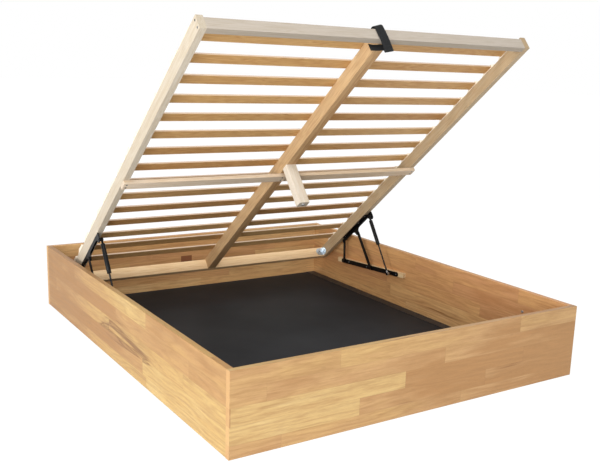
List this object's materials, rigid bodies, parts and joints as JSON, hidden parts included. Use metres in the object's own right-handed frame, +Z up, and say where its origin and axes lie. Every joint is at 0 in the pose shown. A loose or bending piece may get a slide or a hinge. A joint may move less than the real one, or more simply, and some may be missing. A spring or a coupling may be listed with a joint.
{
  "type": "platform bed with lifting storage base",
  "caption": "Low wooden platform bed whose slatted base lifts on sprung links over a storage box.",
  "frame": {"origin": "on the ground in the middle of the box", "axes": "+X along the foot panel, +Y from the foot to the head of the bed, +Z up"},
  "size_m": [1.65, 2.05, 1.4193],
  "materials": {
    "panel_wood": "oiled finger-jointed solid wood staves",
    "slat_wood": "laminated slat wood, matt",
    "rail_wood": "planed pale laminated wood",
    "holder": "moulded slat holders, pale",
    "batten_wood": "planed softwood",
    "floor_board": "black faced board, matt",
    "floor_edging": "black edging strip",
    "buffer_rubber": "grey rubber",
    "pin_steel": "blackened steel",
    "screw_steel": "dark zinc plated steel",
    "zinc_steel": "bright zinc plated steel",
    "rod_steel": "ground steel rod",
    "webbing": "black woven webbing",
    "black_steel": "black painted steel"
  },
  "bodies": {
    "box": {"panel_foot": "panel_wood", "panel_head": "panel_wood", "panel_left": "panel_wood", "panel_right": "panel_wood", "corner_dowels": "batten_wood", "floor_board": "floor_board", "floor_edging": "floor_edging", "foot_rest_left": "batten_wood", "foot_rest_right": "batten_wood", "side_buffers": "buffer_rubber", "batten_left": "batten_wood", "batten_right": "batten_wood", "base_rail_left": "black_steel", "base_rail_right": "black_steel", "base_pins": "pin_steel", "box_screws": "screw_steel"},
    "slatted_base": {"side_rail_left": "rail_wood", "side_rail_right": "rail_wood", "foot_rail": "rail_wood", "head_rail": "rail_wood", "centre_rail": "rail_wood", "cross_rail": "rail_wood", "slat_01": "slat_wood", "slat_02": "slat_wood", "slat_03": "slat_wood", "slat_04": "slat_wood", "slat_05": "slat_wood", "slat_06": "slat_wood", "slat_07": "slat_wood", "slat_08": "slat_wood", "slat_09": "slat_wood", "slat_10": "slat_wood", "slat_11": "slat_wood", "slat_12": "slat_wood", "slat_13": "slat_wood", "slat_14": "slat_wood", "slat_15": "slat_wood", "holders_left": "holder", "holders_right": "holder", "leg": "rail_wood", "leg_glide": "zinc_steel", "corner_brackets": "zinc_steel", "frame_screws": "screw_steel", "lid_plate_left": "black_steel", "lid_plate_right": "black_steel", "plate_screws": "screw_steel", "plate_pins": "pin_steel", "pull_strap": "webbing", "keeper_strap": "webbing"},
    "front_link_right": {"front_link_right": "black_steel"},
    "rear_link_right": {"rear_link_right": "black_steel"},
    "rod_right": {"strut_rod_right": "rod_steel", "strut_end_right": "zinc_steel"},
    "cylinder_right": {"strut_cylinder_right": "black_steel"},
    "front_link_left": {"front_link_left": "black_steel"},
    "rear_link_left": {"rear_link_left": "black_steel"},
    "rod_left": {"strut_rod_left": "rod_steel", "strut_end_left": "zinc_steel"},
    "cylinder_left": {"strut_cylinder_left": "black_steel"}
  },
  "joints": [
    {"name": "front_link_right_pivot", "type": "hinge", "parent": "box", "child": "front_link_right", "pos_m": [0.773, 0.37906, 0.16979], "axis": [-1, 0, 0], "range_deg": [0, 52.05], "stiffness_Nm_per_rad": 60, "springref_deg": -148.97},
    {"name": "slatted_base_pivot", "type": "hinge", "parent": "front_link_right", "child": "slatted_base", "pos_m": [0.773, 0.51019, 0.34643], "axis": [1, 0, 0], "range_deg": [0, 91.56]},
    {"name": "rear_link_right_pivot", "type": "hinge", "parent": "box", "child": "rear_link_right", "pos_m": [0.773, 0.63533, 0.1543], "axis": [-1, 0, 0], "range_deg": [0, 65.36]},
    {"name": "strut_right_foot", "type": "hinge", "parent": "box", "child": "rod_right", "pos_m": [0.753, 0.1944, 0.18094], "axis": [-1, 0, 0], "range_deg": [0, 55.63]},
    {"name": "strut_right_stroke", "type": "slide", "parent": "rod_right", "child": "cylinder_right", "axis": [0, -0.561, -0.8278], "range_m": [0, 0.10245]},
    {"name": "front_link_left_pivot", "type": "hinge", "parent": "box", "child": "front_link_left", "pos_m": [-0.773, 0.37906, 0.16979], "axis": [-1, 0, 0], "range_deg": [0, 52.06]},
    {"name": "rear_link_left_pivot", "type": "hinge", "parent": "box", "child": "rear_link_left", "pos_m": [-0.773, 0.63533, 0.1543], "axis": [-1, 0, 0], "range_deg": [0, 65.36]},
    {"name": "strut_left_foot", "type": "hinge", "parent": "box", "child": "rod_left", "pos_m": [-0.753, 0.1944, 0.18094], "axis": [-1, 0, 0], "range_deg": [0, 55.63]},
    {"name": "strut_left_stroke", "type": "slide", "parent": "rod_left", "child": "cylinder_left", "axis": [0, -0.561, -0.8278], "range_m": [0, 0.10245]}
  ],
  "couplings": [
    {"joint": "slatted_base_pivot", "follows": "front_link_right_pivot", "ratio": 1.7588},
    {"joint": "rear_link_right_pivot", "follows": "front_link_right_pivot", "ratio": 1.2556},
    {"joint": "strut_right_foot", "follows": "front_link_right_pivot", "ratio": 1.0685},
    {"joint": "strut_right_stroke", "follows": "front_link_right_pivot", "m_per_rad": 0.11276},
    {"joint": "front_link_left_pivot", "follows": "front_link_right_pivot", "ratio": 1},
    {"joint": "rear_link_left_pivot", "follows": "front_link_right_pivot", "ratio": 1.2556},
    {"joint": "strut_left_foot", "follows": "front_link_right_pivot", "ratio": 1.0685},
    {"joint": "strut_left_stroke", "follows": "front_link_right_pivot", "m_per_rad": 0.11276}
  ]
}
